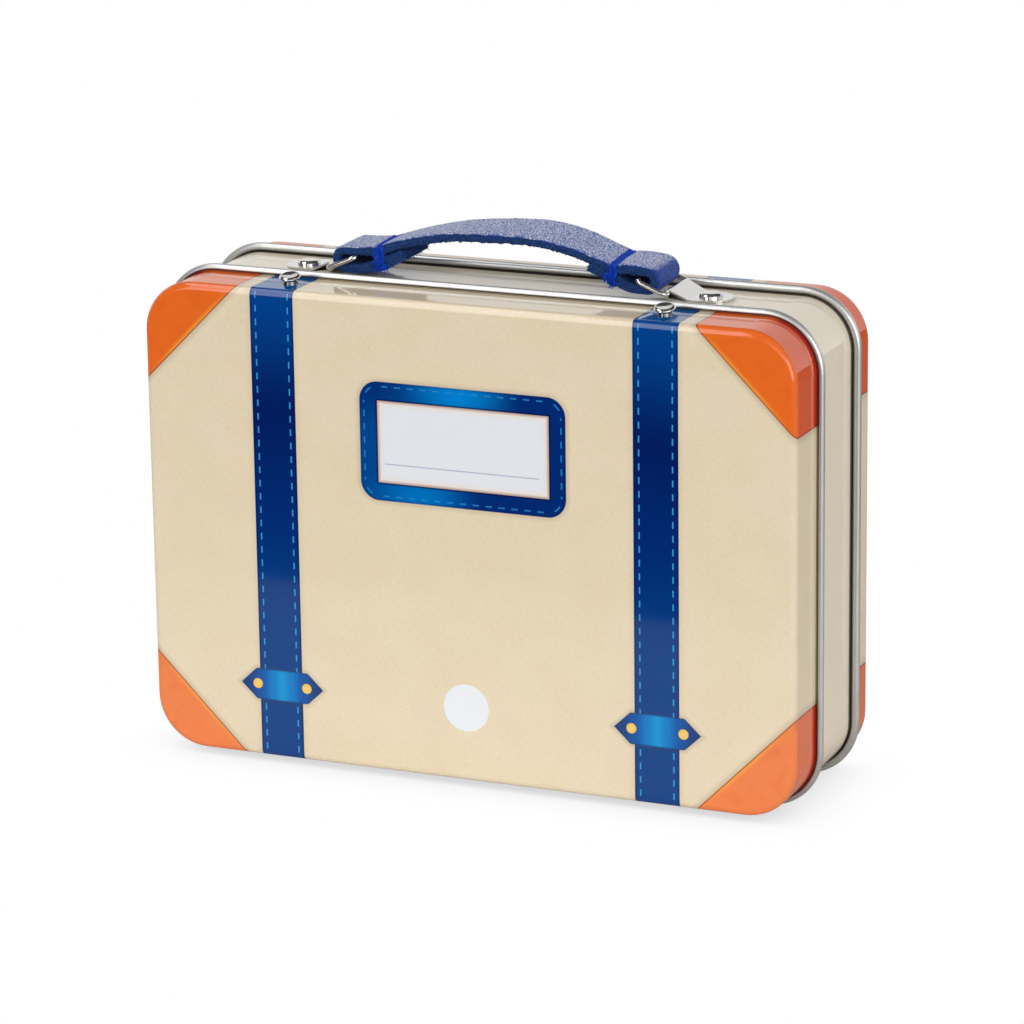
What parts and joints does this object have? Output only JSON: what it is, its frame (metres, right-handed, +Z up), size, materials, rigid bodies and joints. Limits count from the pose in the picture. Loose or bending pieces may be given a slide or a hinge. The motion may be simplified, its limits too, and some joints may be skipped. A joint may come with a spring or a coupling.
{
  "type": "travel dice game in a tin suitcase",
  "caption": "Small suitcase-shaped tin with a hinged lid and a leather handle, holding dice, a cup, a score pad, a pencil and folded rules.",
  "frame": {"origin": "centre of the bounding box's bottom, on the surface that the two rolled rims stand on", "axes": "+X along the case's width to the right, +Y from the lid to the back panel, +Z up through the handle"},
  "size_m": [0.2, 0.06, 0.1552],
  "materials": {
    "cream_tin": "glossy lacquer over tinplate",
    "bright_metal": "nickel plated, polished",
    "steel_wire": "bright drawn wire",
    "blue_leather": "grained top, raw cut edges",
    "blue_thread": "waxed polyester thread",
    "tray_plastic": "formed sheet, satin",
    "cup_plastic": "moulded, satin gloss",
    "dice_plastic": "polished, rounded edges",
    "score_paper": "uncoated",
    "grey_board": "plain greyboard",
    "binding_tape": "woven tape",
    "pencil_paint": "lacquered, bare wood at the point",
    "graphite": "graphite"
  },
  "bodies": {
    "case": {"rear_cover": "cream_tin", "middle_band": "cream_tin", "insert_tray": "tray_plastic", "hinge_leaf_left": "steel_wire", "hinge_leaf_right": "steel_wire", "hinge_rivets": "bright_metal", "handle_plate_left": "bright_metal", "handle_plate_right": "bright_metal", "handle_rivets": "bright_metal"},
    "lid": {"front_cover": "cream_tin", "knob_left": "bright_metal", "knob_right": "bright_metal", "hinge_pin_left": "steel_wire", "hinge_pin_right": "steel_wire"},
    "handle": {"handle_strap": "blue_leather", "strap_stitching": "blue_thread"},
    "left_ring": {"ring_left": "steel_wire"},
    "right_ring": {"ring_right": "steel_wire"},
    "cup": {"dice_cup": "cup_plastic"},
    "die_1": {"die_1": "dice_plastic"},
    "die_2": {"die_2": "dice_plastic"},
    "die_3": {"die_3": "dice_plastic"},
    "die_4": {"die_4": "dice_plastic"},
    "die_5": {"die_5": "dice_plastic"},
    "pad": {"pad_sheets": "score_paper", "pad_backing": "grey_board", "pad_binding": "binding_tape"},
    "leaflet": {"rules_leaflet": "score_paper"},
    "pencil": {"pencil_body": "pencil_paint", "pencil_lead": "graphite"}
  },
  "joints": [
    {"name": "lid_hinge", "type": "hinge", "parent": "case", "child": "lid", "pos_m": [0, -0.01265, 0.00115], "axis": [1, 0, 0], "range_deg": [0, 185]},
    {"name": "handle_lift", "type": "slide", "parent": "case", "child": "handle", "axis": [0, 0, 1], "range_m": [0, 0.0031]},
    {"name": "left_ring_pivot", "type": "hinge", "parent": "case", "child": "left_ring", "pos_m": [-0.0514, 0.00228, 0.1413], "axis": [0, -1, 0], "range_deg": [0, 23]},
    {"name": "right_ring_pivot", "type": "hinge", "parent": "case", "child": "right_ring", "pos_m": [0.0514, 0.00228, 0.1413], "axis": [0, 1, 0], "range_deg": [0, 23]},
    {"name": "cup_lift", "type": "slide", "parent": "case", "child": "cup", "axis": [0, -1, 0], "range_m": [0, 0.005]},
    {"name": "die_1_lift", "type": "slide", "parent": "case", "child": "die_1", "axis": [0, -1, 0], "range_m": [0, 0.016]},
    {"name": "die_2_lift", "type": "slide", "parent": "case", "child": "die_2", "axis": [0, -1, 0], "range_m": [0, 0.016]},
    {"name": "die_3_lift", "type": "slide", "parent": "case", "child": "die_3", "axis": [0, -1, 0], "range_m": [0, 0.016]},
    {"name": "die_4_lift", "type": "slide", "parent": "case", "child": "die_4", "axis": [0, -1, 0], "range_m": [0, 0.016]},
    {"name": "die_5_lift", "type": "slide", "parent": "case", "child": "die_5", "axis": [0, -1, 0], "range_m": [0, 0.016]},
    {"name": "pad_lift", "type": "slide", "parent": "case", "child": "pad", "axis": [0, -1, 0], "range_m": [0, 0.01]},
    {"name": "leaflet_lift", "type": "slide", "parent": "pad", "child": "leaflet", "axis": [0, -1, 0], "range_m": [0, 0.01]},
    {"name": "pencil_lift", "type": "slide", "parent": "case", "child": "pencil", "axis": [0, -1, 0], "range_m": [0, 0.012]}
  ],
  "couplings": [
    {"joint": "left_ring_pivot", "follows": "handle_lift", "rad_per_m": 129.3},
    {"joint": "right_ring_pivot", "follows": "handle_lift", "rad_per_m": 129.3}
  ]
}
